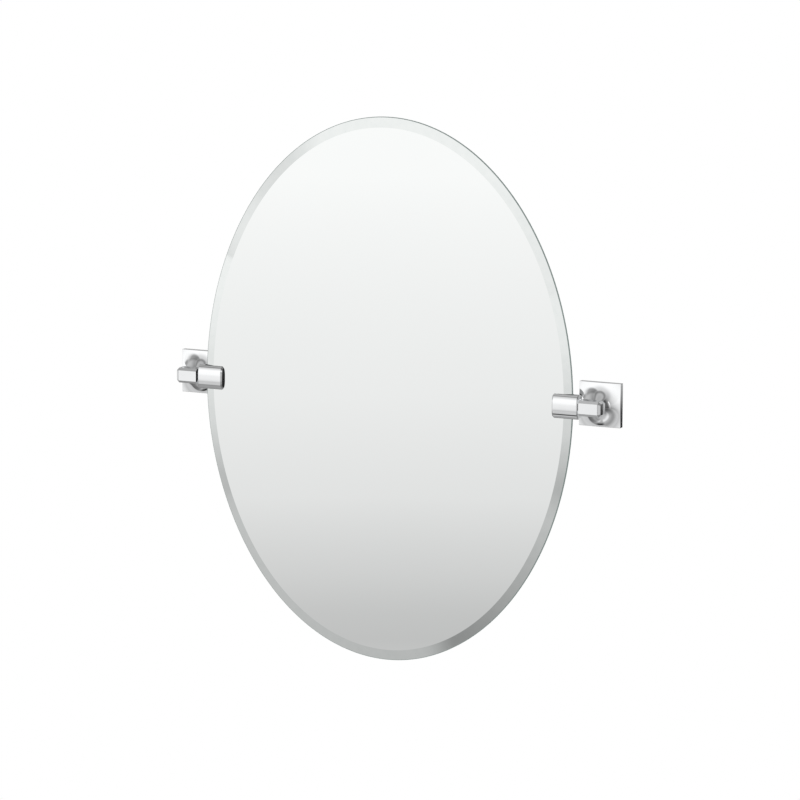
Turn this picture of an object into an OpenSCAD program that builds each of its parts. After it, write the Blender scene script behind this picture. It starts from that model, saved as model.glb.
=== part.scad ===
// Pivot wall mirror: a frameless oval bevelled mirror that tilts between two square wall posts.
// Frame: +Z up, the wall is the plane Y = 0, the mirror faces -Y, and the origin lies on the wall
// midway between the two posts. Depths in the names below are distances out from the wall.

/* [Mirror glass] */
// Width of the oval glass
glass_w = 495; // [485:0.5:505]
// Height of the oval glass
glass_h = 673; // [650:0.5:700]
// Thickness of the glass
glass_t = 4.6; // [4:0.1:5]
// Thickness of the safety backing stuck behind the glass
backing_t = 0.4; // [0.2:0.1:0.5]
// Width of the bevel at the sides of the oval
bevel_side = 10.5; // [8:0.5:13]
// Width of the bevel at the top and bottom of the oval
bevel_top = 13; // [9:0.5:15]
// How much thinner the bevel makes the edge of the glass
bevel_drop = 2.2; // [1:0.1:3]

/* [Wall posts] */
// Distance between the centres of the two posts
post_spacing = 542; // [538:0.5:550]
// Side of the square wall plate
plate_side = 54; // [52:0.5:60]
// Thickness of the square wall plate near its corners
plate_t = 6.2; // [6:0.1:8]
// Height of the flare over the plate, where it meets the neck
flare_rise = 15.2; // [14:0.1:17]
// Steepness of the flare: higher is flatter over the plate and steeper at the neck
flare_power = 5.2; // [4:0.1:6]
// Radius at which the flare would run out level, which is past the corners of the plate
flare_reach = 54; // [50:0.5:60]
// Radius of the neck that the flare narrows to
neck_r = 7.2; // [7:0.1:9]
// Distance of the pivot axis from the wall
axis_depth = 35; // [34:0.5:38]

/* [Arm and clamp] */
// Width of the square arm across its flats
arm_w = 18.8; // [18.4:0.1:20]
// Width of the chamfers along the arm
arm_chamfer = 3; // [2:0.1:3.2]
// How far the arm reaches outwards from the centre of the post, without its cap
arm_out = 12.2; // [12:0.1:13]
// How far the arm reaches inwards from the centre of the post
arm_in = 12.6; // [12:0.1:13]
// Thickness of the cap on the outer end of the arm
cap_t = 3.3; // [3.2:0.1:4]
// Gap between the arm and the clamp barrel, which the pivot crosses
barrel_gap = 1.7; // [1:0.1:2]
// Height of the clamp barrel
barrel_h = 30; // [28:0.5:32]
// Depth of the clamp barrel, from front to back
barrel_d = 16.4; // [16:0.1:18]
// Length of the clamp barrel
barrel_len = 33.6; // [32:0.1:36]
// Squareness of the barrel's section: 2 is an ellipse, higher is squarer
barrel_power = 2.9; // [2:0.1:4]

/* [Pivot] */
// Radius of the pivot bolt
bolt_r = 2.5; // [2:0.1:3]
// Radial running clearance of the pivot bolt in its bushes
bolt_play = 0.05; // [0.02:0.01:0.1]
// Wall thickness of the plastic bushes
bush_wall = 1; // [0.8:0.05:1.2]
// Thickness of the flange of the outer bush
flange_t = 0.9; // [0.6:0.1:0.9]
// Radius of the friction collar in the gap between arm and barrel
collar_r = 4.2; // [4:0.1:5]

/* [Fasteners] */
// Radius of the wall screw holes in each hidden bracket
wall_hole_r = 2.5; // [2:0.1:3]
// Distance between the two wall screw holes of a bracket
wall_hole_gap = 28; // [26:1:30]
// Radius of the screw that holds the arm on the post
arm_screw_r = 2.5; // [2:0.1:2.5]
// Radius of the grub screws that clamp the glass
clamp_screw_r = 2; // [1.5:0.1:2.5]
// Radius of the grub screw under each wall plate
lock_screw_r = 1.5; // [1:0.1:1.5]

/* [Hidden] */
$fn = 96;
past = 1; // how far a cutting shape runs past the face that it cuts
play = 0.1; // gap between faces that turn against each other
screw_gap = 0.3; // gap past the end of a screw

// Glass sandwich, centred on the pivot axis
sandwich_t = glass_t + backing_t;
glass_front = axis_depth + sandwich_t / 2;
glass_back = glass_front - glass_t;
backing_back = glass_back - backing_t;
backing_inset = 2;
oval_sides = 144;

// Hollow in the back of the wall plate, and the steel bracket inside it
rim_wall = 4;
hollow_side = plate_side - 2 * rim_wall;
hollow_t = 5; // leaves room for the heads of the wall screws
bracket_gap = 1;
bracket_side = hollow_side - 2 * bracket_gap;
bracket_t = 2.5;
bracket_hole_r = 7;
bracket_low = hollow_side / 2 - bracket_side; // its top edge carries the plate's rim

// The face of the plate rises in one hollow curve to the neck
flare_steps = 20;
flare_out = plate_side / sqrt(2) + past; // just past the corners of the plate
neck_end = axis_depth - arm_w / 4; // inside the arm, which the neck is coped to

// Arm screw, driven from behind through the post
seat_depth = 16; // where the screw head bears inside the post
seat_r = 6;
arm_head_r = 4.6;
arm_head_t = 3;
arm_screw_play = 0.25;
arm_hex_r = 2;
arm_hex_t = 2;

// Places along the pivot axis, measured outwards from the centre of a post
section_points = 72;
slot_slack = 1.8; // room for the liner between the edge of the glass and the slot's end
barrel_out = -(arm_in + barrel_gap);
barrel_in = barrel_out - barrel_len;
glass_edge = glass_w / 2 - post_spacing / 2;
slot_end = glass_edge + slot_slack;
bush_r = bolt_r + bolt_play + bush_wall;
bush_len = 7.5;
collar_len = barrel_gap - play;
flange_r = 6.2;
pocket_r = 6.5;
pocket_start = 4.4;
washer_start = pocket_start + flange_t + play;
washer_r = 5.5;
washer_t = 0.7;
washer_cone = 0.4;
washer_play = 0.2;
head_start = washer_start + washer_t + washer_cone;
head_r = 4.8;
head_t = 3.5;
bolt_thread = 6.5;
bolt_hex_r = 2.3;
bolt_hex_t = 2;
cap_spigot_r = 6.4;
cap_spigot = 2;
cap_taper = 3.1; // length of the sloping edge round the cap
cap_inset = 2.5; // how far that edge draws in

// Liner and grub screws of the clamp
pad_t = 0.6;
pad_side = 26;
pad_inset = 0.5; // the liner stops short of the barrel's inner end
slot_front = glass_front + pad_t;
slot_back = backing_back - pad_t;
edge_gap = 0.2; // between the edge of the glass and the closed end of the liner
pad_stop = glass_edge + edge_gap;
clamp_screw_gap = 16;
clamp_screw_in = 6.5; // from the inner end of the barrel to the screws
clamp_screw_len = 4.2;
clamp_hex_r = 1.1;
clamp_hex_t = 2;

// Grub screw under the wall plate
lock_depth = 2.2;
lock_len = plate_side / 2 + bracket_low - screw_gap;
lock_hex_r = 0.9;
lock_hex_t = 1.5;

// ---- Placing --------------------------------------------------------------------------------

// Puts a right-hand piece at its post: the left-hand one is its mirror image
module at_post(side) {
    if (side == "right") translate([post_spacing / 2, 0, 0]) children();
    else mirror([1, 0, 0]) translate([post_spacing / 2, 0, 0]) children();
}

// Stands a shape drawn along +Z on the wall, pointing out from it
module outwards(depth, x = 0, z = 0) {
    translate([x, -depth, z]) rotate([90, 0, 0]) children();
}

// Lays a shape drawn along +Z on the pivot axis, pointing away from the glass
module on_axis(x) {
    translate([x, -axis_depth, 0]) rotate([0, 90, 0]) children();
}

// ---- Shared shapes --------------------------------------------------------------------------

// Square bar with chamfered edges along the pivot axis, from x outwards, whose outer end may draw
// in by inset over taper: the overlap of four slabs, turned by 45 degrees from one to the next
module chamfered_bar(x, length, taper = 0, inset = 0) {
    stop = length - taper;
    intersection_for(turn = [0 : 45 : 135]) {
        reach = turn % 90 == 0 ? arm_w / 2 : (arm_w - arm_chamfer) / sqrt(2);
        tip = reach - inset;
        translate([x, -axis_depth, 0]) rotate([90 + turn, 0, 0]) translate([0, 0, -arm_w])
            linear_extrude(height = 2 * arm_w)
                polygon([
                    [0, -reach], [stop, -reach], [length, -tip],
                    [length, tip], [stop, reach], [0, reach]
                ]);
    }
}

// Point of the barrel's section, an ellipse with squarer shoulders (a superellipse), at an angle
function section_point(angle) = [
    barrel_h / 2 * sign(cos(angle)) * pow(abs(cos(angle)), 2 / barrel_power),
    barrel_d / 2 * sign(sin(angle)) * pow(abs(sin(angle)), 2 / barrel_power)
];

// Hexagon socket of a screw, sunk along +Z
module hex_socket(r, depth) {
    translate([0, 0, -depth]) cylinder(r = r, h = depth + past, $fn = 6);
}

// Points of the oval at one depth
function oval_ring(half_w, half_h, depth) = [
    for (i = [0 : oval_sides - 1])
        [half_w * cos(i * 360 / oval_sides), -depth, half_h * sin(i * 360 / oval_sides)]
];

// Side faces between two rings of the oval
function ring_faces(first, second) = [
    for (i = [0 : oval_sides - 1])
        let (j = (i + 1) % oval_sides)
            [second + i, second + j, first + j, first + i]
];

// ---- Mirror ---------------------------------------------------------------------------------

// Oval glass: a flat edge, then the bevel up to the flat face
module mirror_glass() {
    outer_w = glass_w / 2;
    outer_h = glass_h / 2;
    points = concat(
        oval_ring(outer_w, outer_h, glass_back),
        oval_ring(outer_w, outer_h, glass_front - bevel_drop),
        oval_ring(outer_w - bevel_side, outer_h - bevel_top, glass_front)
    );
    back_face = [for (i = [0 : oval_sides - 1]) i];
    front_face = [for (i = [1 : oval_sides]) 3 * oval_sides - i];
    color("azure") polyhedron(points, concat(
        [back_face], ring_faces(0, oval_sides), ring_faces(oval_sides, 2 * oval_sides), [front_face]
    ));
}

// White safety film stuck to the silvered back
module safety_backing() {
    half_w = glass_w / 2 - backing_inset;
    half_h = glass_h / 2 - backing_inset;
    color("whitesmoke") outwards(backing_back) linear_extrude(height = backing_t)
        polygon([
            for (i = [0 : oval_sides - 1])
                [half_w * cos(i * 360 / oval_sides), half_h * sin(i * 360 / oval_sides)]
        ]);
}

// ---- Post -----------------------------------------------------------------------------------

// Distance of the post's face from the wall at a radius from its centre: a power curve that falls
// from the neck to the plate
function flare_depth(r) =
    plate_t + flare_rise * pow((flare_reach - r) / (flare_reach - neck_r), flare_power);

// Radius of each step of the flare: the steps are shorter near the neck, where it bends most
function flare_radius(step) =
    neck_r + (flare_out - neck_r) * pow(step / flare_steps, 1.4);

// Wall plate, flare and neck: one plated casting, square at the wall and round at the neck
module casting() {
    curve = [for (i = [0 : flare_steps]) [flare_radius(i), flare_depth(flare_radius(i))]];
    intersection() {
        outwards(0) rotate_extrude()
            polygon(concat([[0, 0], [0, neck_end], [neck_r, neck_end]], curve, [[flare_out, 0]]));
        translate([-plate_side / 2, -axis_depth, -plate_side / 2])
            cube([plate_side, axis_depth, plate_side]);
    }
}

// The casting, coped to the arm and bored for its screws
module post() {
    color("silver") difference() {
        casting();
        chamfered_bar(-arm_in - past, arm_in + arm_out + 2 * past);
        translate([-hollow_side / 2, -hollow_t, -hollow_side / 2])
            cube([hollow_side, hollow_t + past, hollow_side]);
        outwards(0) cylinder(r = seat_r, h = seat_depth);
        outwards(0) cylinder(r = arm_screw_r + arm_screw_play, h = axis_depth);
        translate([0, -lock_depth, -plate_side / 2 - past])
            cylinder(r = lock_screw_r, h = rim_wall + 2 * bracket_gap + 2 * past);
    }
}

// Steel bracket that is screwed to the wall and that the post hooks over
module wall_bracket() {
    color("darkgray") difference() {
        translate([-bracket_side / 2, -bracket_t, bracket_low])
            cube([bracket_side, bracket_t, bracket_side]);
        outwards(-past) cylinder(r = bracket_hole_r, h = bracket_t + 2 * past);
        for (z = [-wall_hole_gap / 2, wall_hole_gap / 2])
            outwards(-past, 0, z) cylinder(r = wall_hole_r, h = bracket_t + 2 * past);
    }
}

// Grub screw in the lower rim of the plate, which locks the post on its bracket
module lock_screw() {
    color("dimgray") translate([0, -lock_depth, bracket_low]) rotate([180, 0, 0])
        difference() {
            cylinder(r = lock_screw_r, h = lock_len);
            translate([0, 0, lock_len]) hex_socket(lock_hex_r, lock_hex_t);
        }
}

// ---- Arm and pivot --------------------------------------------------------------------------

// Cross arm in front of the post, bored through for the pivot
module arm() {
    color("silver") difference() {
        chamfered_bar(-arm_in, arm_in + arm_out);
        on_axis(-arm_in - past) cylinder(r = bush_r, h = arm_in + arm_out + 2 * past);
        on_axis(pocket_start) cylinder(r = pocket_r, h = arm_out - pocket_start + past);
        outwards(axis_depth - arm_w / 2 - past) cylinder(r = arm_screw_r, h = arm_w / 2);
    }
}

// Screw from inside the post into the back of the arm
module arm_screw() {
    head_back = seat_depth - arm_head_t;
    tip = axis_depth - bush_r - screw_gap;
    color("dimgray") outwards(head_back) difference() {
        union() {
            cylinder(r = arm_head_r, h = arm_head_t);
            cylinder(r = arm_screw_r, h = tip - head_back);
        }
        rotate([180, 0, 0]) hex_socket(arm_hex_r, arm_hex_t);
    }
}

// Plastic bush whose collar is the friction face between arm and barrel
module friction_bush() {
    color("dimgray") difference() {
        union() {
            on_axis(-arm_in - collar_len) cylinder(r = collar_r, h = collar_len);
            on_axis(-arm_in - collar_len) cylinder(r = bush_r, h = collar_len + bush_len);
        }
        on_axis(-arm_in - collar_len - past)
            cylinder(r = bolt_r + bolt_play, h = bush_len + collar_len + 2 * past);
    }
}

// Plastic bush at the bolt head, inside the arm
module outer_bush() {
    color("dimgray") difference() {
        union() {
            on_axis(pocket_start) cylinder(r = flange_r, h = flange_t);
            on_axis(pocket_start - bush_len) cylinder(r = bush_r, h = bush_len + flange_t);
        }
        on_axis(pocket_start - bush_len - past)
            cylinder(r = bolt_r + bolt_play, h = bush_len + flange_t + 2 * past);
    }
}

// Coned spring washer that keeps the pivot tight
module spring_washer() {
    hole_r = bolt_r + washer_play;
    color("gray") on_axis(washer_start) rotate_extrude()
        polygon([
            [hole_r, washer_cone], [washer_r, 0],
            [washer_r, washer_t], [hole_r, washer_t + washer_cone]
        ]);
}

// Pivot bolt: its head is in the arm and its thread holds the barrel
module pivot_bolt() {
    tip = barrel_out - bolt_thread;
    color("dimgray") difference() {
        union() {
            on_axis(tip) cylinder(r = bolt_r, h = head_start - tip + past);
            on_axis(head_start) cylinder(r = head_r, h = head_t);
        }
        on_axis(head_start + head_t) hex_socket(bolt_hex_r, bolt_hex_t);
    }
}

// Cap that closes the outer end of the arm
module end_cap() {
    color("gainsboro") union() {
        chamfered_bar(arm_out, cap_t, cap_taper, cap_inset);
        on_axis(arm_out - cap_spigot) cylinder(r = cap_spigot_r, h = cap_spigot + cap_t / 2);
    }
}

// ---- Glass clamp ----------------------------------------------------------------------------

// Slotted barrel: the glass sits between its front and rear jaws
module clamp_barrel() {
    step = 360 / section_points;
    color("silver") difference() {
        on_axis(barrel_in) linear_extrude(height = barrel_len)
            polygon([for (i = [0 : section_points - 1]) section_point((i + 0.5) * step)]);
        translate([barrel_in - past, -slot_front, -barrel_h])
            cube([slot_end - barrel_in + past, slot_front - slot_back, 2 * barrel_h]);
        on_axis(barrel_out - bolt_thread) cylinder(r = bolt_r, h = bolt_thread + past);
        for (z = [-clamp_screw_gap / 2, clamp_screw_gap / 2])
            outwards(slot_back - barrel_d / 2, barrel_in + clamp_screw_in, z)
                cylinder(r = clamp_screw_r, h = barrel_d / 2 + past);
    }
}

// Soft liner bent round the edge of the glass
module glass_pad() {
    strip = pad_stop - barrel_in - pad_inset;
    color("dimgray") translate([barrel_in + pad_inset, 0, -pad_side / 2]) union() {
        translate([0, -slot_front, 0]) cube([strip, pad_t, pad_side]);
        translate([0, -slot_back - pad_t, 0]) cube([strip, pad_t, pad_side]);
        translate([strip, -slot_front, 0])
            cube([slot_end - pad_stop, slot_front - slot_back, pad_side]);
    }
}

// Two grub screws through the rear jaw, which press the liner on the glass
module clamp_screws() {
    tail = slot_back - clamp_screw_len;
    color("dimgray") for (z = [-clamp_screw_gap / 2, clamp_screw_gap / 2])
        outwards(tail, barrel_in + clamp_screw_in, z) difference() {
            cylinder(r = clamp_screw_r, h = clamp_screw_len);
            rotate([180, 0, 0]) hex_socket(clamp_hex_r, clamp_hex_t);
        }
}

// ---- Nodes ----------------------------------------------------------------------------------

mirror_glass();
safety_backing();
at_post("left") post();  // post_left
at_post("right") post();  // post_right
at_post("left") wall_bracket();  // wall_bracket_left
at_post("right") wall_bracket();  // wall_bracket_right
at_post("left") lock_screw();  // lock_screw_left
at_post("right") lock_screw();  // lock_screw_right
at_post("left") arm();  // arm_left
at_post("right") arm();  // arm_right
at_post("left") arm_screw();  // arm_screw_left
at_post("right") arm_screw();  // arm_screw_right
at_post("left") friction_bush();  // friction_bush_left
at_post("right") friction_bush();  // friction_bush_right
at_post("left") outer_bush();  // outer_bush_left
at_post("right") outer_bush();  // outer_bush_right
at_post("left") spring_washer();  // spring_washer_left
at_post("right") spring_washer();  // spring_washer_right
at_post("left") pivot_bolt();  // pivot_bolt_left
at_post("right") pivot_bolt();  // pivot_bolt_right
at_post("left") end_cap();  // end_cap_left
at_post("right") end_cap();  // end_cap_right
at_post("left") clamp_barrel();  // clamp_barrel_left
at_post("right") clamp_barrel();  // clamp_barrel_right
at_post("left") glass_pad();  // glass_pad_left
at_post("right") glass_pad();  // glass_pad_right
at_post("left") clamp_screws();  // clamp_screws_left
at_post("right") clamp_screws();  // clamp_screws_right
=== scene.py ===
"""Looks of the pivot wall mirror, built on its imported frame. Every length is in metres.

The wall is the plane y = 0, the mirror faces -y, and the pivot axis runs along x through both posts.
"""
import math

import bmesh
import bpy
import numpy as np
from mathutils import Matrix, Vector


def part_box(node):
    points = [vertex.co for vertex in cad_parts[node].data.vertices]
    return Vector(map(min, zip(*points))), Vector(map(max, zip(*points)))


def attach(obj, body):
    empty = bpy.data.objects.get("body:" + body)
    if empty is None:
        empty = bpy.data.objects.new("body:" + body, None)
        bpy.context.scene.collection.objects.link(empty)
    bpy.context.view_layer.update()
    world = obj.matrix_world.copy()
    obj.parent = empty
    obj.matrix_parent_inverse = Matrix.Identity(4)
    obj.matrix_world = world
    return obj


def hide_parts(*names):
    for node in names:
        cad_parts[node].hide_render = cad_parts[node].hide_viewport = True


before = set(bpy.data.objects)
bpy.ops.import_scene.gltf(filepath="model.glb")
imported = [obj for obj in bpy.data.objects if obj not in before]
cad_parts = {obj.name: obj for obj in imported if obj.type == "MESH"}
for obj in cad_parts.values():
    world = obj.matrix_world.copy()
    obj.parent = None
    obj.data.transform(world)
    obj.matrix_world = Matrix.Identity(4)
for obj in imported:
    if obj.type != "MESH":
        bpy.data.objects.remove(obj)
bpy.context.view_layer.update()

mm = 0.001

# ---- Wall posts -----------------------------------------------------------------------------------
# Each post is one zinc casting under bright chrome: a square wall plate whose face rises in a hollow
# curve to a round neck, which is coped to the arm. Its back is hollow, so that it hooks over a steel
# bracket, and a grub screw through its lower rim locks it there.

post_low, post_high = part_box("post_right")
post_x = (post_low.x + post_high.x) / 2
plate_half = (post_high.x - post_low.x) / 2
plate_t = 6.2 * mm
plate_corner = 0.8 * mm
plate_edge = 0.5 * mm
axis_depth = 35 * mm
arm_half = (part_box("arm_right")[1].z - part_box("arm_right")[0].z) / 2
flare_rise = 15.2 * mm
flare_power = 5.2
flare_reach = 54 * mm
neck_r = 7.2 * mm
hollow_half = plate_half - 4 * mm
hollow_t = 5 * mm
seat_r = 6 * mm
seat_depth = 16 * mm
screw_way_r = 2.75 * mm
lock_hole_r = 1.5 * mm
lock_depth = 2.2 * mm
arm_chamfer = 3 * mm
weld = 0.4 * mm  # the neck runs this far into the arm
face_rings = 73
crowding = 1.3  # the rings of the face lie closer together towards the neck, where it is steep
support = 0.12 * mm  # a ring this close to an edge keeps the broad face beside it flat in reflections
merged = 1e-7  # points closer together than this are one
sides = {"left": -1, "right": 1}


def square_path(half, corner, straight=44, arc=8):
    """Points round a square with rounded corners, as rows of (x, z).

    One side runs up x = half from -(half - corner) to half - corner, then a quarter circle of radius
    corner turns it by 90 degrees. The four sides are that one turned by 0, 90, 180 and 270 degrees.
    """
    flat = half - corner
    run = np.stack([np.full(straight, half), np.linspace(-flat, flat, straight, endpoint=False)], 1)
    turn = np.linspace(0, math.pi / 2, arc, endpoint=False)
    bend = flat + corner * np.stack([np.cos(turn), np.sin(turn)], 1)
    side = np.concatenate([run, bend])
    quarter = np.array([[0, 1], [-1, 0]])
    return np.concatenate([side @ np.linalg.matrix_power(quarter, k) for k in range(4)])


def round_path(radius, beside):
    """Points of a circle at the bearings of another path: (radius cos a, radius sin a)."""
    bearing = np.arctan2(beside[:, 1], beside[:, 0])
    return radius * np.stack([np.cos(bearing), np.sin(bearing)], 1)


def wall_ring(path, depth):
    """A path laid parallel to the wall: (x, z) becomes (x, -depth, z)."""
    return np.stack([path[:, 0], np.broadcast_to(-depth, len(path)), path[:, 1]], 1)


def loft(name, rings, looped, crease=30):
    """A closed skin over rings of equal count, from ring i to ring i + 1 all round.

    A looped skin joins the last ring to the first. Any other gets one flat face at each end.
    """
    rings = np.asarray(rings, float)
    rows, count = rings.shape[:2]
    index = np.arange(rows * count).reshape(rows, count)
    start = index if looped else index[:-1]
    ahead = np.roll(index, -1, axis=0)[: len(start)]
    quads = np.stack([start, np.roll(start, -1, 1), np.roll(ahead, -1, 1), ahead], -1).reshape(-1, 4)
    faces = quads.tolist()
    if not looped:
        faces += [index[0].tolist(), index[-1].tolist()]
    return shaped(name, rings.reshape(-1, 3), faces, crease)


def shaped(name, points, faces, crease=30):
    """A mesh object whose normals point outwards, smooth except at edges sharper than the crease angle."""
    mesh = bpy.data.meshes.new(name)
    mesh.from_pydata(points, [], faces)
    shell = bmesh.new()
    shell.from_mesh(mesh)
    bmesh.ops.remove_doubles(shell, verts=shell.verts, dist=merged)
    bmesh.ops.recalc_face_normals(shell, faces=shell.faces)
    shell.to_mesh(mesh)
    shell.free()
    mesh.shade_smooth()
    mesh.set_sharp_from_angle(angle=math.radians(crease))
    piece = bpy.data.objects.new(name, mesh)
    bpy.context.scene.collection.objects.link(piece)
    return piece


def rod(name, start, end, radius, count=64):
    """A plain round bar from start to end: start + radius (cos a u + sin a v), with u and v across it."""
    along = (end - start).normalized()
    across = along.orthogonal().normalized()
    third = along.cross(across)
    turn = np.linspace(0, 2 * math.pi, count, endpoint=False)[:, None]
    circle = radius * (np.cos(turn) * np.array(across) + np.sin(turn) * np.array(third))
    return loft(name, [np.array(start) + circle, np.array(end) + circle], looped=False)


def cut(piece, cutters, crease=30):
    """Takes the cutting shapes out of a piece for good, and finds its sharp edges again."""
    for cutter in cutters:
        work = piece.modifiers.new("cut", "BOOLEAN")
        work.operation = "DIFFERENCE"
        work.solver = "EXACT"
        work.object = cutter
    bpy.context.view_layer.update()
    done = piece.evaluated_get(bpy.context.evaluated_depsgraph_get())
    piece.data = bpy.data.meshes.new_from_object(done)
    piece.modifiers.clear()
    for cutter in cutters:
        bpy.data.objects.remove(cutter)
    piece.data.shade_smooth()
    piece.data.set_sharp_from_angle(angle=math.radians(crease))
    return piece


def face_depth(path):
    """Depth of the casting's face at each point, r from its centre: a power curve down from the neck.

    plate_t + flare_rise ((flare_reach - r) / (flare_reach - neck_r)) ** flare_power
    """
    r = np.hypot(path[:, 0], path[:, 1])
    return plate_t + flare_rise * ((flare_reach - r) / (flare_reach - neck_r)) ** flare_power


def cope_depth(path):
    """Depth at which the neck meets the back of the arm: the arm's flat back, less its chamfers.

    Back at height z: axis_depth - arm_half + max(0, |z| - (arm_half - arm_chamfer)).
    """
    over = np.maximum(0, np.abs(path[:, 1]) - (arm_half - arm_chamfer))
    return axis_depth - arm_half + over + weld


def wall_post(name, side):
    """Rings from the rim of the hollow, over the plate and its face, up the neck, and down the screw way.

    The rings of the face blend from the plate's outline to the circle of the neck, along each bearing.
    """
    foot = square_path(plate_half - plate_edge, plate_corner)
    neck = round_path(neck_r, foot)
    edge = face_depth(foot) - plate_edge
    fillet = [
        wall_ring(
            square_path(plate_half - plate_edge * (1 - math.cos(a)), plate_corner),
            edge + plate_edge * math.sin(a),
        )
        for a in np.linspace(0, math.pi / 2, 7)
    ]
    inner = square_path(plate_half - plate_edge - support, plate_corner)
    face = [neck + (inner - neck) * share ** crowding for share in np.linspace(1, 0, face_rings)]
    way = round_path(screw_way_r, foot)
    rings = [
        wall_ring(square_path(plate_half, plate_corner), 0),
        wall_ring(square_path(plate_half, plate_corner), edge - support),
        *fillet,
        *[wall_ring(path, face_depth(path)) for path in face],
        wall_ring(neck, cope_depth(neck)),
        wall_ring(way, cope_depth(neck)),
        wall_ring(way, seat_depth),
        wall_ring(round_path(seat_r, foot), seat_depth),
        wall_ring(round_path(seat_r, foot), hollow_t),
        wall_ring(square_path(hollow_half, plate_corner), hollow_t),
        wall_ring(square_path(hollow_half, plate_corner), 0),
    ]
    rings = np.array(rings)
    rings[..., 0] = side * (rings[..., 0] + post_x)
    post = loft(name, rings, looped=True, crease=35)
    low = Vector((side * post_x, -lock_depth, -plate_half - mm))
    into_hollow = Vector((0, 0, 6 * mm))
    return cut(post, [rod("drill", low, low + into_hollow, lock_hole_r)], crease=35)


calm = (0.3, 0.7)  # noise seldom leaves this middle part of its range


def noise(tree, scale, detail, spread=(1, 1, 1)):
    """Noise over the piece's own coordinates, made spread times finer along x, y and z."""
    place = tree.nodes.new("ShaderNodeTexCoord")
    mapping = tree.nodes.new("ShaderNodeMapping")
    mapping.inputs["Scale"].default_value = spread
    tree.links.new(place.outputs["Object"], mapping.inputs["Vector"])
    grain = tree.nodes.new("ShaderNodeTexNoise")
    grain.inputs["Scale"].default_value = scale
    grain.inputs["Detail"].default_value = detail
    tree.links.new(mapping.outputs["Vector"], grain.inputs["Vector"])
    return grain.outputs["Fac"]


def ranged(tree, value, low, high):
    """The middle part of a noise spread over low to high."""
    scale = tree.nodes.new("ShaderNodeMapRange")
    scale.inputs["From Min"].default_value = calm[0]
    scale.inputs["From Max"].default_value = calm[1]
    scale.inputs["To Min"].default_value = low
    scale.inputs["To Max"].default_value = high
    tree.links.new(value, scale.inputs["Value"])
    return scale.outputs["Result"]


def coloured(tree, shader, value, first, second):
    """Colours the surface from first to second as the value runs through the middle part of a noise."""
    blend = tree.nodes.new("ShaderNodeMix")
    blend.data_type = "RGBA"
    blend.inputs["A"].default_value = (*first, 1)
    blend.inputs["B"].default_value = (*second, 1)
    tree.links.new(ranged(tree, value, 0, 1), blend.inputs["Factor"])
    tree.links.new(blend.outputs["Result"], shader.inputs["Base Color"])


def roughened(tree, shader, value, low, high):
    """Makes the surface as rough as low to high as the value runs through the middle part of a noise."""
    tree.links.new(ranged(tree, value, low, high), shader.inputs["Roughness"])


def rippled(tree, shader, value, height):
    """Shades the surface as if it were raised by up to height where the value is high."""
    bump = tree.nodes.new("ShaderNodeBump")
    bump.inputs["Strength"].default_value = 1
    bump.inputs["Distance"].default_value = height
    tree.links.new(value, bump.inputs["Height"])
    tree.links.new(bump.outputs["Normal"], shader.inputs["Normal"])


def new_finish(name):
    """An empty finish: its material, node tree and main shader."""
    material = bpy.data.materials.new(name)
    material.use_nodes = True
    return material, material.node_tree, material.node_tree.nodes["Principled BSDF"]


def bright_chrome():
    """Cool bright plating: a mirror with the faint unevenness that hand polishing leaves."""
    material, tree, shader = new_finish("bright_chrome")
    shader.inputs["Metallic"].default_value = 1
    coloured(tree, shader, noise(tree, scale=60, detail=2), (0.94, 0.95, 0.957), (0.965, 0.973, 0.978))
    roughened(tree, shader, noise(tree, scale=900, detail=3), 0.03, 0.06)
    rippled(tree, shader, noise(tree, scale=140, detail=1), 0.001 * mm)
    return material


chrome = bright_chrome()
for word, side in sides.items():
    post = wall_post("post_casting_" + word, side)
    post.data.materials.append(chrome)
    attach(post, "wall_mount")
    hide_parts("post_" + word)

# ---- Cross arms and their end caps ----------------------------------------------------------------
# A square chrome bar with chamfered edges lies along the pivot axis in front of each post. It is bored
# through for the pivot bolt, and a chamfered cap with a round spigot closes the wider outer bore.

arm_low, arm_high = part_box("arm_right")
arm_in = arm_low.x - post_x
arm_out = arm_high.x - post_x
cap_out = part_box("end_cap_right")[1].x - post_x
cap_taper = 3.1 * mm
cap_inset = 2.5 * mm
soft_edge = 0.22 * mm  # radius that polishing leaves on an edge
bore_r = 3.55 * mm
pocket_r = 6.5 * mm
pocket_start = 4.4 * mm
spigot_r = 6.4 * mm
spigot = 2 * mm
arm_screw_r = 2.5 * mm
end_rim = 2 * mm  # width of the flat drawn on an end face before it runs on to a bore or spigot


def softened(corners, radius, closed, steps=4):
    """An outline whose corners are rounded: each becomes a curve between two points beside it.

    The curve from A to B about the corner C is (1 - t)^2 A + 2 t (1 - t) C + t^2 B. A point just before
    A and one just after B keep the flat sides beside it flat in reflections.
    """
    corners = np.asarray(corners, float)
    before = np.roll(corners, 1, axis=0)
    after = np.roll(corners, -1, axis=0)
    t = np.linspace(0, 1, steps + 1)[:, None]
    line = []
    for number, (last, corner, coming) in enumerate(zip(before, corners, after)):
        if not closed and number in (0, len(corners) - 1):
            line.append(corner[None])
            continue
        back = (last - corner) / np.linalg.norm(last - corner)
        on = (coming - corner) / np.linalg.norm(coming - corner)
        reach = radius * math.tan(math.acos(np.clip(-back @ on, -1, 1)) / 2)
        start = corner + back * reach
        stop = corner + on * reach
        bend = (1 - t) ** 2 * start + 2 * t * (1 - t) * corner + t ** 2 * stop
        line += [(start + back * support)[None], bend, (stop + on * support)[None]]
    return np.concatenate(line)


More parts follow.
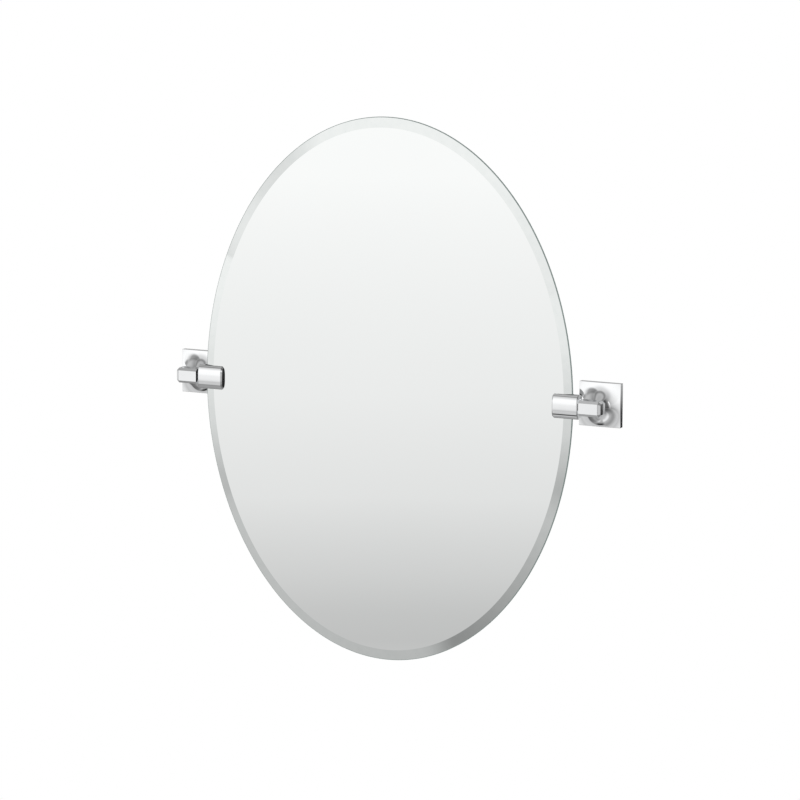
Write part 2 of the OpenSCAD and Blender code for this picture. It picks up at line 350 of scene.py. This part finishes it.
def chamfered_path(inset=0.0):
    """Points round the square bar with chamfered edges, as rows of (z, depth), inset on every side.

    A side runs from (-(half - c), half) to (half - c, half) and a chamfer on to (half, half - c); an
    inset takes half down by itself and c by 2 - sqrt(2) of itself, as the chamfer moves inwards too.
    """
    half = arm_half - inset
    flat = half - (arm_chamfer - (2 - math.sqrt(2)) * inset)
    side = np.array([[-flat, half], [flat, half]])
    quarter = np.array([[0, -1], [1, 0]])
    corners = np.concatenate([side @ np.linalg.matrix_power(quarter, k) for k in range(4)])
    return softened(corners, soft_edge, closed=True)


def axis_ring(path, x, side):
    """A path laid across the pivot axis at x from the post's centre: (z, depth) becomes (x, y, z)."""
    place = np.full(len(path), side * (post_x + x))
    return np.stack([place, -axis_depth - path[:, 1], path[:, 0]], 1)


def bar_rings(profile, side):
    """Rings of the bar for a profile of (x, inset) points."""
    return [axis_ring(chamfered_path(inset), x, side) for x, inset in profile]


def cross_arm(name, side):
    """Rings over the bar from its outer end to its inner end, and back through the stepped bore."""
    profile = softened(
        [(arm_out, end_rim), (arm_out, 0), (arm_in, 0), (arm_in, end_rim)], soft_edge, closed=False)
    bar = chamfered_path()
    bore = round_path(bore_r, bar)
    pocket = round_path(pocket_r, bar)
    rings = [
        *bar_rings(profile, side),
        axis_ring(bore, arm_in, side),
        axis_ring(bore, pocket_start, side),
        axis_ring(pocket, pocket_start, side),
        axis_ring(pocket, arm_out, side),
    ]
    arm = loft(name, rings, looped=True)
    back = Vector((side * post_x, -axis_depth + arm_half + mm, 0))
    return cut(arm, [rod("drill", back, back - Vector((0, arm_half / 2, 0)), arm_screw_r)])


def end_cap(name, side):
    """Rings from the end of the spigot, over the seam's edge and the sloping edge, to the outer face."""
    middle = 3.4 * mm  # inset of the last ring, inside which the end is one flat face
    profile = softened(
        [(arm_out, end_rim), (arm_out, 0),
         (cap_out - cap_taper, 0), (cap_out, cap_inset), (cap_out, middle)],
        soft_edge, closed=False)
    round_end = round_path(spigot_r, chamfered_path())
    rings = [
        axis_ring(round_end, arm_out - spigot, side),
        axis_ring(round_end, arm_out, side),
        *bar_rings(profile, side),
    ]
    return loft(name, rings, looped=False)


for word, side in sides.items():
    arm = cross_arm("arm_bar_" + word, side)
    arm.data.materials.append(chrome)
    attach(arm, "wall_mount")
    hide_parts("arm_" + word)

for word, side in sides.items():
    cap = end_cap("arm_cap_" + word, side)
    cap.data.materials.append(chrome)
    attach(cap, "wall_mount")
    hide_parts("end_cap_" + word)

# ---- Clamp barrels --------------------------------------------------------------------------------
# Each side of the glass sits in the slot of a chrome barrel with a flattened, soft-cornered section. The
# barrel is chamfered at both ends, tapped for the pivot bolt, and drilled behind for two grub screws.

barrel_low, barrel_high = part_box("clamp_barrel_right")
barrel_in = barrel_low.x - post_x
barrel_out = barrel_high.x - post_x
barrel_half = (barrel_high.z - barrel_low.z) / 2
barrel_depth = (barrel_high.y - barrel_low.y) / 2
inner_taper = 1.8 * mm
inner_inset = 1.4 * mm
outer_taper = 1.2 * mm
outer_inset = 0.8 * mm
barrel_power = 2.9
bolt_r = 2.5 * mm
bolt_thread = 6.5 * mm
liner_t = 0.6 * mm
glass_low, glass_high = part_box("mirror_glass")
backing_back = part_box("safety_backing")[1].y
slot_front = -glass_low.y + liner_t
slot_back = -backing_back - liner_t
slot_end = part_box("glass_pad_right")[1].x - post_x
clamp_low, clamp_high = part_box("clamp_screws_right")
clamp_x = (clamp_low.x + clamp_high.x) / 2 - post_x
clamp_r = (clamp_high.x - clamp_low.x) / 2
clamp_z = clamp_high.z - clamp_r


def soft_square_path(tall, deep, power, count=288):
    """Points of a superellipse as rows of (z, depth): |z / tall| ** power + |d / deep| ** power = 1."""
    turn = (np.arange(count) + 0.5) * 2 * math.pi / count
    swing = np.stack([np.sin(turn), np.cos(turn)], 1)
    return np.array([tall, deep]) * np.sign(swing) * np.abs(swing) ** (2 / power)


def block(name, low, high):
    """A plain box between two corners, used only to cut with."""
    size = np.array(high) - np.array(low)
    square = np.array([[0, 0, 0], [1, 0, 0], [1, 1, 0], [0, 1, 0]])
    return loft(name, [np.array(low) + size * square, np.array(low) + size * (square + [0, 0, 1])], False)


def clamp_barrel(name, side):
    """Rings over the section from end to end, then the slot and the holes cut out."""
    middle = 3.5 * mm  # inset of the last ring, inside which the end is one flat face
    profile = softened(
        [(barrel_in, middle), (barrel_in, inner_inset), (barrel_in + inner_taper, 0),
         (barrel_out - outer_taper, 0), (barrel_out, outer_inset), (barrel_out, middle)],
        soft_edge, closed=False)
    rings = [
        axis_ring(soft_square_path(barrel_half - narrower, barrel_depth - narrower, barrel_power), x, side)
        for x, narrower in profile
    ]
    barrel = loft(name, rings, looped=False)
    past = mm  # a cutter starts this far outside the barrel
    mouth = sorted([side * (post_x + barrel_in - past), side * (post_x + slot_end)])
    tall = barrel_half + past
    cutters = [
        block("slot", (mouth[0], -slot_front, -tall), (mouth[1], -slot_back, tall)),
        rod(
            "tap",
            Vector((side * (post_x + barrel_out + past), -axis_depth, 0)),
            Vector((side * (post_x + barrel_out - bolt_thread), -axis_depth, 0)),
            bolt_r,
        ),
    ]
    for z in (-clamp_z, clamp_z):
        tail = Vector((side * (post_x + clamp_x), -slot_back - past, z))
        cutters.append(rod("tap", tail, tail + Vector((0, barrel_depth, 0)), clamp_r))
    return cut(barrel, cutters)


for word, side in sides.items():
    barrel = clamp_barrel("barrel_" + word, side)
    barrel.data.materials.append(chrome)
    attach(barrel, "mirror")
    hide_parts("clamp_barrel_" + word)

# ---- Oval mirror glass ----------------------------------------------------------------------------
# Float glass, silvered behind and sealed with grey paint. Its rim is ground to a polished bevel, and a
# narrow matt arris runs round it where the bevel meets the upright edge.

glass_half = Vector((glass_high.x, 0, glass_high.z))
bevel_side = 10.5 * mm
bevel_top = 13 * mm
bevel_drop = 2.2 * mm
arris = 0.7 * mm
oval_count = 288


def oval_ring(side_inset, top_inset, depth):
    """A ring of the oval: ((a - side_inset) cos t, -depth, (b - top_inset) sin t)."""
    turn = np.linspace(0, 2 * math.pi, oval_count, endpoint=False)
    across = (glass_half.x - side_inset) * np.cos(turn)
    upward = (glass_half.z - top_inset) * np.sin(turn)
    return np.stack([across, np.full(oval_count, -depth), upward], 1)


def silvered():
    """Silver seen through clear glass: a mirror with a trace of green."""
    material, tree, shader = new_finish("silvered_glass")
    shader.inputs["Metallic"].default_value = 1
    coloured(tree, shader, noise(tree, scale=3, detail=1), (0.935, 0.95, 0.942), (0.945, 0.957, 0.95))
    roughened(tree, shader, noise(tree, scale=400, detail=2), 0.004, 0.012)
    return material


def bevel_polish_and_shade():
    """The bevel is polished less finely than the face, and its darker colour is painted shade, so that it
    reflects dimmer.
    """
    material, tree, shader = new_finish("bevel_polish_and_shade")
    shader.inputs["Metallic"].default_value = 1
    # Darker than the face's silver: painted shade.
    coloured(tree, shader, noise(tree, scale=120, detail=2), (0.79, 0.815, 0.805), (0.82, 0.84, 0.83))
    roughened(tree, shader, noise(tree, scale=500, detail=3), 0.02, 0.05)
    return material


def ground_edge():
    """Edge of the sheet, ground with fine grit: dull grey-green glass, finely mottled by the grit."""
    material, tree, shader = new_finish("ground_edge")
    mottle = noise(tree, scale=900, detail=3)
    coloured(tree, shader, mottle, (0.16, 0.20, 0.19), (0.24, 0.29, 0.275))
    roughened(tree, shader, mottle, 0.25, 0.42)
    shader.inputs["IOR"].default_value = 1.52
    rippled(tree, shader, mottle, 0.01 * mm)
    return material


def sealing_paint():
    """Grey paint that seals the silver, rolled on thin, with a fine stipple."""
    material, tree, shader = new_finish("sealing_paint")
    stipple = noise(tree, scale=1400, detail=4)
    coloured(tree, shader, stipple, (0.24, 0.25, 0.26), (0.30, 0.31, 0.32))
    roughened(tree, shader, stipple, 0.5, 0.65)
    rippled(tree, shader, stipple, 0.02 * mm)
    return material


glass_front = -glass_low.y
glass_back = -glass_high.y
glass_rings = [
    oval_ring(0, 0, glass_back),
    oval_ring(0, 0, glass_front - bevel_drop - arris / 2),
    oval_ring(arris, arris, glass_front - bevel_drop * (1 - arris / bevel_side)),
    oval_ring(bevel_side, bevel_top, glass_front),
]
glass = loft("oval_glass", glass_rings, looped=False, crease=5)
for finish in (silvered(), bevel_polish_and_shade(), ground_edge(), sealing_paint()):
    glass.data.materials.append(finish)
FACE, BEVEL, EDGE, BACK = range(4)
facing = 0.9  # a face is part of the edge if the front or back part of its normal is less than this
strip = np.full(len(glass.data.polygons), FACE)
for number, polygon in enumerate(glass.data.polygons):
    out = -polygon.normal.y
    if out < -facing:
        strip[number] = BACK
    elif out < facing:
        strip[number] = EDGE
    elif len(polygon.vertices) == 4:
        strip[number] = BEVEL
glass.data.polygons.foreach_set("material_index", strip)
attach(glass, "mirror")
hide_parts("mirror_glass")
glass.visible_glossy = False  # the metal beside it shows the studio in its place

# ---- Safety backing -------------------------------------------------------------------------------
# A woven safety film is stuck over the whole back of the glass but for a narrow rim, and it holds the
# pieces together if the glass breaks. It stays the CAD solid and gets its weave from its material.

thread_turns = (45, -45)
thread_scale = 95
thread_wobble = 0.15


def math_of(tree, operation, first, second=None):
    """One arithmetic node over values or numbers."""
    node = tree.nodes.new("ShaderNodeMath")
    node.operation = operation
    for socket, value in zip(node.inputs, (first, second)):
        if value is None:
            continue
        if isinstance(value, (int, float)):
            socket.default_value = value
        else:
            tree.links.new(value, socket)
    return node.outputs["Value"]


def safety_film():
    """White film over a fine square weave: two sets of sine ridges, of which the higher one shows."""
    material, tree, shader = new_finish("safety_film")
    place = tree.nodes.new("ShaderNodeTexCoord")
    ridges = []
    for turn in thread_turns:
        mapping = tree.nodes.new("ShaderNodeMapping")
        mapping.inputs["Rotation"].default_value = (0, math.radians(turn), 0)
        tree.links.new(place.outputs["Object"], mapping.inputs["Vector"])
        thread = tree.nodes.new("ShaderNodeTexWave")
        thread.bands_direction = "X"
        thread.inputs["Scale"].default_value = thread_scale
        thread.inputs["Distortion"].default_value = thread_wobble
        tree.links.new(mapping.outputs["Vector"], thread.inputs["Vector"])
        ridges.append(thread.outputs["Fac"])
    height = math_of(tree, "MAXIMUM", *ridges)
    coloured(tree, shader, height, (0.80, 0.81, 0.81), (0.88, 0.885, 0.88))
    roughened(tree, shader, noise(tree, scale=40, detail=3), 0.38, 0.55)
    rippled(tree, shader, height, 0.06 * mm)
    return material


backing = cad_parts["safety_backing"]
backing.data.materials.clear()
backing.data.materials.append(safety_film())
backing.visible_glossy = False

# ---- Hidden fixings -------------------------------------------------------------------------------
# Bought-in parts: pressed brackets and screws in bright zinc, black oxide grub screws, turned acetal
# bushes, hard spring washers and liners cut from soft vinyl. Their edges are broken as such parts' are.

solid_merged = 1e-6
flat_angle = math.radians(1)  # faces that meet at less than this become one
smooth_angle = math.radians(30)  # edges below this are shaded smooth
eased_angle = math.radians(40)  # edges above this are rounded off


def eased(node, width, body, finish):
    """A copy of the node's own solid, merged, with its sharp edges rounded off by a bevel of that width."""
    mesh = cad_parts[node].data.copy()
    shell = bmesh.new()
    shell.from_mesh(mesh)
    bmesh.ops.remove_doubles(shell, verts=shell.verts, dist=solid_merged)
    bmesh.ops.dissolve_limit(shell, angle_limit=flat_angle, verts=shell.verts, edges=shell.edges)
    shell.to_mesh(mesh)
    shell.free()
    mesh.materials.clear()
    mesh.materials.append(finish)
    mesh.shade_smooth()
    mesh.set_sharp_from_angle(angle=smooth_angle)
    piece = bpy.data.objects.new(node + "_eased", mesh)
    bpy.context.scene.collection.objects.link(piece)
    bevel = piece.modifiers.new("eased", "BEVEL")
    bevel.width = width
    bevel.segments = 2
    bevel.limit_method = "ANGLE"
    bevel.angle_limit = eased_angle
    bevel.harden_normals = True
    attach(piece, body)
    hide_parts(node)


def bright_zinc():
    """Bluish zinc plate: fine crystals in patches, dulled where it was tumbled."""
    material, tree, shader = new_finish("bright_zinc")
    shader.inputs["Metallic"].default_value = 1
    patches = noise(tree, scale=350, detail=4)
    coloured(tree, shader, patches, (0.60, 0.63, 0.66), (0.74, 0.75, 0.76))
    roughened(tree, shader, noise(tree, scale=1500, detail=3), 0.22, 0.38)
    rippled(tree, shader, patches, 0.01 * mm)
    return material


def black_oxide():
    """Oiled black oxide on steel: nearly black, with a faint brown bloom."""
    material, tree, shader = new_finish("black_oxide")
    shader.inputs["Metallic"].default_value = 1
    bloom = noise(tree, scale=900, detail=3)
    coloured(tree, shader, bloom, (0.035, 0.035, 0.038), (0.07, 0.062, 0.055))
    roughened(tree, shader, bloom, 0.32, 0.48)
    return material


def spring_steel():
    """Hardened steel, tinted from blue-grey to straw by its heat treatment, with fine rings."""
    material, tree, shader = new_finish("spring_steel")
    shader.inputs["Metallic"].default_value = 1
    heat = noise(tree, scale=200, detail=2)
    coloured(tree, shader, heat, (0.26, 0.27, 0.30), (0.36, 0.34, 0.31))
    roughened(tree, shader, noise(tree, scale=1800, detail=2, spread=(4, 1, 1)), 0.25, 0.4)
    return material


def turned_acetal():
    """Black acetal with the fine rings that the lathe leaves, close together along the axis."""
    material, tree, shader = new_finish("turned_acetal")
    rings = noise(tree, scale=1600, detail=2, spread=(6, 1, 1))
    coloured(tree, shader, rings, (0.014, 0.014, 0.015), (0.028, 0.028, 0.03))
    roughened(tree, shader, rings, 0.3, 0.42)
    rippled(tree, shader, rings, 0.01 * mm)
    return material


def soft_vinyl():
    """Black calendered vinyl: a soft sheen over a fine leathery grain."""
    material, tree, shader = new_finish("soft_vinyl")
    grain = noise(tree, scale=2200, detail=4)
    coloured(tree, shader, grain, (0.03, 0.03, 0.032), (0.05, 0.05, 0.052))
    roughened(tree, shader, grain, 0.5, 0.66)
    rippled(tree, shader, grain, 0.03 * mm)
    return material


zinc = bright_zinc()
oxide = black_oxide()
spring = spring_steel()
acetal = turned_acetal()
vinyl = soft_vinyl()
for word in sides:
    eased("wall_bracket_" + word, 0.3 * mm, "wall_mount", zinc)
    eased("arm_screw_" + word, 0.2 * mm, "wall_mount", zinc)
    eased("lock_screw_" + word, 0.12 * mm, "wall_mount", oxide)
    eased("friction_bush_" + word, 0.1 * mm, "wall_mount", acetal)
    eased("outer_bush_" + word, 0.1 * mm, "wall_mount", acetal)
    eased("spring_washer_" + word, 0.08 * mm, "mirror", spring)
    eased("pivot_bolt_" + word, 0.25 * mm, "mirror", zinc)
    eased("glass_pad_" + word, 0.12 * mm, "mirror", vinyl)
    eased("clamp_screws_" + word, 0.15 * mm, "mirror", oxide)

# ---- Studio ---------------------------------------------------------------------------------------
# A white room with a pale floor far below the mirror. Polished metal needs something darker to show its
# shape, so metal and glass see a studio in greys, which lights nothing: white in front, a ceiling with a
# dark rim, dark cloth to the right and behind, and a black band low in front.

floor_drop = 1.1
floor_r = 60.0
floor_count = 64
floor_grey = 0.92
floor_fade = [(0.7, 0), (1.9, 1)]  # from matt floor with the mirror's shadow to plain white
floor_open = [(2.8, 0), (3.4, 1)]  # nearer by, metal looks past the floor to the studio's lower part
# The spot is a painted dark reflection: only a ray that has come off metal twice sees it.
spot_bounces = 1.5  # a ray with more glossy bounces than this shows metal that is seen in other metal
white = 1.0
horizon_glow = 1.06

# Greys of the floor for polished metal, by bearing in degrees from the front, positive to the right, and by
# distance in metres from below the mirror. The last three say where floor_behind, to either side alike, and
# the spot hold.
floor_sides = [
    (-180, 1), (-115, 1), (-85, 0.55), (-75, 0.55), (-60, 1), (0, 0.95), (21.5, 0.76), (36, 0.62), (48, 0.5),
    (51.5, 0.66), (56, 0.66), (60, 0.28), (64, 0.12), (154.4, 0.12), (155.1, 1), (180, 1),
]
floor_front = [
    (0, 0.6), (3.1, 0.6), (3.4, 0.57), (3.7, 0.6), (4.1, 0.68), (5.0, 0.82), (6.5, 0.9), (12, 1.03),
    (20, horizon_glow),
]
floor_behind = [
    (0, 0.3), (5.5, 0.03), (6.1, 0.04), (6.47, 0.06), (6.57, 0.2), (6.9, 0.5), (8, 0.6), (20, 0.5),
]
behind_sides = [(100, 0), (120, 1)]
spot_sides = [(24, 0), (24.5, 1), (27.5, 1), (28, 0)]
spot_reach = [(6, 0), (6.2, 1), (7.2, 1), (7.4, 0)]


def shade_ramp(tree, value, low, high, stops):
    """Grey levels along a value that runs from low to high, as stops of (value, grey)."""
    scale = tree.nodes.new("ShaderNodeMapRange")
    scale.inputs["From Min"].default_value = low
    scale.inputs["From Max"].default_value = high
    tree.links.new(value, scale.inputs["Value"])
    ramp = tree.nodes.new("ShaderNodeValToRGB")
    elements = ramp.color_ramp.elements
    while len(elements) < len(stops):
        elements.new(0.5)
    for element, (place, grey) in zip(elements, stops):
        element.position = (place - low) / (high - low)
        element.color = (grey, grey, grey, 1)
    tree.links.new(scale.outputs["Result"], ramp.inputs["Fac"])
    return ramp.outputs["Color"]


def by_bearing(tree, turn, stops):
    """Grey levels by bearing, as stops of (degrees, grey)."""
    return shade_ramp(tree, turn, -180, 180, stops)


def by_distance(tree, away, stops):
    """Grey levels by distance along the floor, as stops of (metres, grey)."""
    return shade_ramp(tree, away, 0, 20, stops)


def by_height(tree, height, stops):
    """Grey levels by elevation, as stops of (degrees, grey): height is the sine of the elevation."""
    sines = [(math.sin(math.radians(degrees)), grey) for degrees, grey in stops]
    return shade_ramp(tree, height, -1, 1, sines)


def product_of(tree, first, second):
    """The first value times the second."""
    return math_of(tree, "MULTIPLY", first, second)


def blend_of(tree, factor, first, second):
    """A value that goes from first to second as the factor goes from 0 to 1."""
    rest = math_of(tree, "SUBTRACT", 1.0, factor)
    return math_of(tree, "ADD", product_of(tree, rest, first), product_of(tree, factor, second))


def mixed(tree, factor, first, second):
    """A shader that goes from first to second as the factor goes from 0 to 1."""
    mix = tree.nodes.new("ShaderNodeMixShader")
    tree.links.new(factor, mix.inputs["Fac"])
    tree.links.new(first, mix.inputs[1])
    tree.links.new(second, mix.inputs[2])
    return mix.outputs["Shader"]


def glowing(tree, kind, strength):
    """A white glow of the given kind of shader, with its strength as a value or a number."""
    glow = tree.nodes.new(kind)
    glow.inputs["Color"].default_value = (1, 1, 1, 1)
    if isinstance(strength, float):
        glow.inputs["Strength"].default_value = strength
    else:
        tree.links.new(strength, glow.inputs["Strength"])
    return glow.outputs[0]


def bearing_of(tree, place):
    """Degrees round the upright axis from straight in front of the mirror, positive to the right.

    It is the angle whose tangent is x / -y. The x, y and z of the place come back with it.
    """
    apart = tree.nodes.new("ShaderNodeSeparateXYZ")
    tree.links.new(place, apart.inputs["Vector"])
    x, y, z = apart.outputs
    turn = math_of(tree, "ARCTAN2", x, product_of(tree, y, -1.0))
    return product_of(tree, turn, 180 / math.pi), x, y, z


def seen_in_polish(tree, path):
    """1 for a ray that comes from polished metal or passes through glass, and 0 for any other."""
    return math_of(tree, "MAXIMUM", path.outputs["Is Glossy Ray"], path.outputs["Is Transmission Ray"])


def floor_cloth():
    """Pale floor that keeps the mirror's shadow near by and runs out to white.

    Polished metal looks past its nearest part, and sees the rest grey by bearing times grey by distance:
    white far off in front and dark behind the mirror. Metal seen in other metal also shows a black spot,
    far in front and to the right: a painted dark reflection, which no other ray sees.
    """
    material = bpy.data.materials.new("studio_floor")
    material.use_nodes = True
    tree = material.node_tree
    tree.nodes.clear()
    place = tree.nodes.new("ShaderNodeTexCoord")
    turn, x, y, _ = bearing_of(tree, place.outputs["Object"])
    away = math_of(tree, "SQRT", math_of(tree, "ADD", product_of(tree, x, x), product_of(tree, y, y)))

    pale = tree.nodes.new("ShaderNodeBsdfDiffuse")
    pale.inputs["Color"].default_value = (floor_grey, floor_grey, floor_grey, 1)
    matt = mixed(tree, shade_ramp(tree, away, 0, 3, floor_fade),
                 pale.outputs["BSDF"], glowing(tree, "ShaderNodeEmission", white))

    front = by_distance(tree, away, floor_front)
    behind = by_distance(tree, away, floor_behind)
    is_behind = shade_ramp(tree, math_of(tree, "ABSOLUTE", turn), 0, 180, behind_sides)
    level = blend_of(tree, is_behind, front, behind)
    level = product_of(tree, level, by_bearing(tree, turn, floor_sides))
    path = tree.nodes.new("ShaderNodeLightPath")
    # The spot below is a painted dark reflection, seen only in metal that is seen in other metal.
    in_metal = math_of(tree, "GREATER_THAN", path.outputs["Glossy Depth"], spot_bounces)
    spot = product_of(tree, by_bearing(tree, turn, spot_sides), by_distance(tree, away, spot_reach))
    level = blend_of(tree, product_of(tree, spot, in_metal), level, 0.0)
    clear = tree.nodes.new("ShaderNodeBsdfTransparent")
    mirrored = mixed(tree, by_distance(tree, away, floor_open),
                     clear.outputs["BSDF"], glowing(tree, "ShaderNodeEmission", level))

    sink = tree.nodes.new("ShaderNodeOutputMaterial")
    tree.links.new(mixed(tree, seen_in_polish(tree, path), matt, mirrored), sink.inputs["Surface"])
    return material


around = np.linspace(0, 2 * math.pi, floor_count, endpoint=False)
rim = np.stack([floor_r * np.cos(around), floor_r * np.sin(around), np.full(floor_count, -floor_drop)], 1)
floor_mesh = bpy.data.meshes.new("floor")
floor_mesh.from_pydata(rim, [], [list(range(floor_count))])
floor_mesh.materials.append(floor_cloth())
floor = bpy.data.objects.new("floor", floor_mesh)
bpy.context.scene.collection.objects.link(floor)

# Greys of the walls for polished metal, by elevation and by bearing in degrees. Below low_height, which is
# the sine of an elevation, low_sides holds for room_sides, and within band_sides band_heights holds for
# room_heights. Where steep_heights is 1, straight up and down, all bearings are alike.
room_glow = 0.95  # of the even white room that matt surfaces see
low_height = -0.2
room_heights = [
    (-90, 0.48), (-66, 0.55), (-60, 0.74), (-54, 0.88), (-50, 0.78), (-45, 0.48), (-40, 0.42), (-34, 0.32),
    (-29, 0.32), (-25, 0.44), (-19, 0.62), (0, 1.04), (12, horizon_glow), (18, 1.0), (24, 0.88), (30, 0.76),
    (42, 0.66), (47, 0.46), (51, 0.27), (56, 0.27), (61, 0.4), (66, 0.48), (90, 0.42),
]
room_sides = [
    (-180, 0.35), (-155, 0.42), (-120, 0.36), (-100, 0.46), (-85, 0.5), (-70, 0.5), (-60, 0.62), (-54, 0.86),
    (-48, 0.92), (-38, 0.96), (-35, 1), (-10, 1), (0, 0.94), (18, 0.78), (36, 0.62), (48, 0.46), (60, 0.26),
    (66, 0.11), (110, 0.1), (130, 0.2), (155, 0.35), (180, 0.35),
]
low_sides = [
    (-180, 0.35), (-85, 0.4), (-65, 0.4), (-55, 0.38), (-48, 0.42), (-42, 0.55), (-36, 0.85), (-30, 1),
    (20, 1), (36, 0.78), (48, 0.58), (60, 0.4), (66, 0.3), (180, 0.3),
]
steep_heights = [(-76, 1), (-60.5, 0), (39.8, 0), (56.1, 1)]
band_sides = [(-36, 0), (-30, 1), (-22, 1), (-17, 0)]
band_heights = [
    (-62, 0.5), (-50, 0.44), (-46, 0.36), (-42, 0.3), (-40.5, 0.03), (-34.5, 0.03), (-31, 0.5), (-28, 0.66),
    (-24, 0.88), (-12, 0.9),
]

# Patches on those walls, by where they are and how strongly: a grey panel high on the left with a lower end
# further round, a paler part below it with left_greys for its greys by elevation, and a white card on the
# right, in front of the dark cloth.
panel_sides = [(-75, 0), (-60, 0.55), (-48, 0.65), (-43, 0.55), (-37, 0)]
panel_heights = [(2, 0), (15, 1)]
panel_end_sides = [(-75, 0), (-60, 0.55), (-55, 0.6), (-48, 0)]
panel_end_heights = [(-9, 0), (-5, 1), (4, 1), (15, 0)]
left_sides = [(-64, 0), (-56, 1), (-24, 1), (-18, 0)]
left_heights = [(-34.5, 0), (-31, 1), (-12, 1), (-6, 0)]
left_greys = [(-34, 0.55), (-20, 0.63), (-10, 0.78)]
card_sides = [(49, 0), (51.5, 1), (56, 1), (58.5, 0)]
card_heights = [(-14, 0), (-11, 1), (17, 1), (21, 0)]


def studio_walls():
    """White at strength 1 for the camera, an even white room for matt surfaces, and the studio for polish.

    The studio is grey by elevation times grey by bearing. The panel takes its share off that, but not
    straight up or down, the left part blends into its own greys, and the card shows where it is brighter.
    """
    world = bpy.data.worlds.new("studio")
    bpy.context.scene.world = world
    world.use_nodes = True
    tree = world.node_tree
    tree.nodes.clear()
    place = tree.nodes.new("ShaderNodeTexCoord")
    turn, _, _, height = bearing_of(tree, place.outputs["Generated"])

    def patch(sides, heights):
        """A patch as a strength by bearing times a strength by elevation."""
        return product_of(tree, by_bearing(tree, turn, sides), by_height(tree, height, heights))

    below = math_of(tree, "LESS_THAN", height, low_height)
    band = product_of(tree, by_bearing(tree, turn, band_sides), below)
    upward = by_height(tree, height, room_heights)
    upward = blend_of(tree, band, upward, by_height(tree, height, band_heights))
    around = blend_of(tree, below, by_bearing(tree, turn, room_sides), by_bearing(tree, turn, low_sides))
    steep = by_height(tree, height, steep_heights)
    room = product_of(tree, upward, blend_of(tree, steep, around, 1.0))

    panel_end = patch(panel_end_sides, panel_end_heights)
    panel = math_of(tree, "MAXIMUM", patch(panel_sides, panel_heights), panel_end)
    panel = blend_of(tree, steep, panel, 0.0)
    room = product_of(tree, room, math_of(tree, "SUBTRACT", 1.0, panel))
    room = blend_of(tree, patch(left_sides, left_heights), room, by_height(tree, height, left_greys))
    room = math_of(tree, "MAXIMUM", room, patch(card_sides, card_heights))

    path = tree.nodes.new("ShaderNodeLightPath")
    unseen = blend_of(tree, seen_in_polish(tree, path), room_glow, room)
    strength = blend_of(tree, path.outputs["Is Camera Ray"], unseen, white)
    sink = tree.nodes.new("ShaderNodeOutputWorld")
    tree.links.new(glowing(tree, "ShaderNodeBackground", strength), sink.inputs["Surface"])


studio_walls()


def soft_box(name, place, size, power):
    """A large soft lamp that faces the mirror. Polished metal shows the studio and not this lamp."""
    light = bpy.data.lights.new(name, "AREA")
    light.shape = "RECTANGLE"
    light.size, light.size_y = size
    light.energy = power
    lamp = bpy.data.objects.new(name, light)
    lamp.location = place
    lamp.rotation_euler = (-Vector(place)).to_track_quat("-Z", "Y").to_euler()
    lamp.visible_glossy = False
    bpy.context.scene.collection.objects.link(lamp)


soft_box("key_lamp", place=(-1.6, -2.4, 2.2), size=(1.6, 1.6), power=14)
soft_box("fill_lamp", place=(2.2, -2.0, 0.8), size=(1.4, 1.8), power=7)
soft_box("back_lamp", place=(0.6, 2.6, 1.6), size=(2.0, 1.6), power=8)

# ---- Camera ---------------------------------------------------------------------------------------
# The camera stands to the right of the mirror and a little above it, at the photograph's own angle.

azimuth = math.radians(25.18)
elevation = math.radians(9.65)
roll = math.radians(0.29)
distance = 4.965
frame_px = 800
lens_px = 4037.0  # focal length, in pixels of that frame
sensor_mm = 36
target = Vector((0.0056, -0.0065, -0.0148))


def camera_pose():
    """Right, up and back axes as columns: back points from the target to the camera."""
    back = Vector((
        math.sin(azimuth) * math.cos(elevation),
        -math.cos(azimuth) * math.cos(elevation),
        math.sin(elevation),
    ))
    level = Vector((math.cos(azimuth), math.sin(azimuth), 0))
    upright = back.cross(level)
    right = math.cos(roll) * level + math.sin(roll) * upright
    up = math.cos(roll) * upright - math.sin(roll) * level
    turned = Matrix((right, up, back)).transposed().to_4x4()
    return Matrix.Translation(target + distance * back) @ turned


lens = bpy.data.cameras.new("camera")
lens.sensor_width = sensor_mm
lens.lens = lens_px / frame_px * sensor_mm
lens.clip_end = 200
camera = bpy.data.objects.new("camera", lens)
camera.matrix_world = camera_pose()
bpy.context.scene.collection.objects.link(camera)
bpy.context.scene.camera = camera
bpy.context.scene.view_settings.view_transform = "Standard"
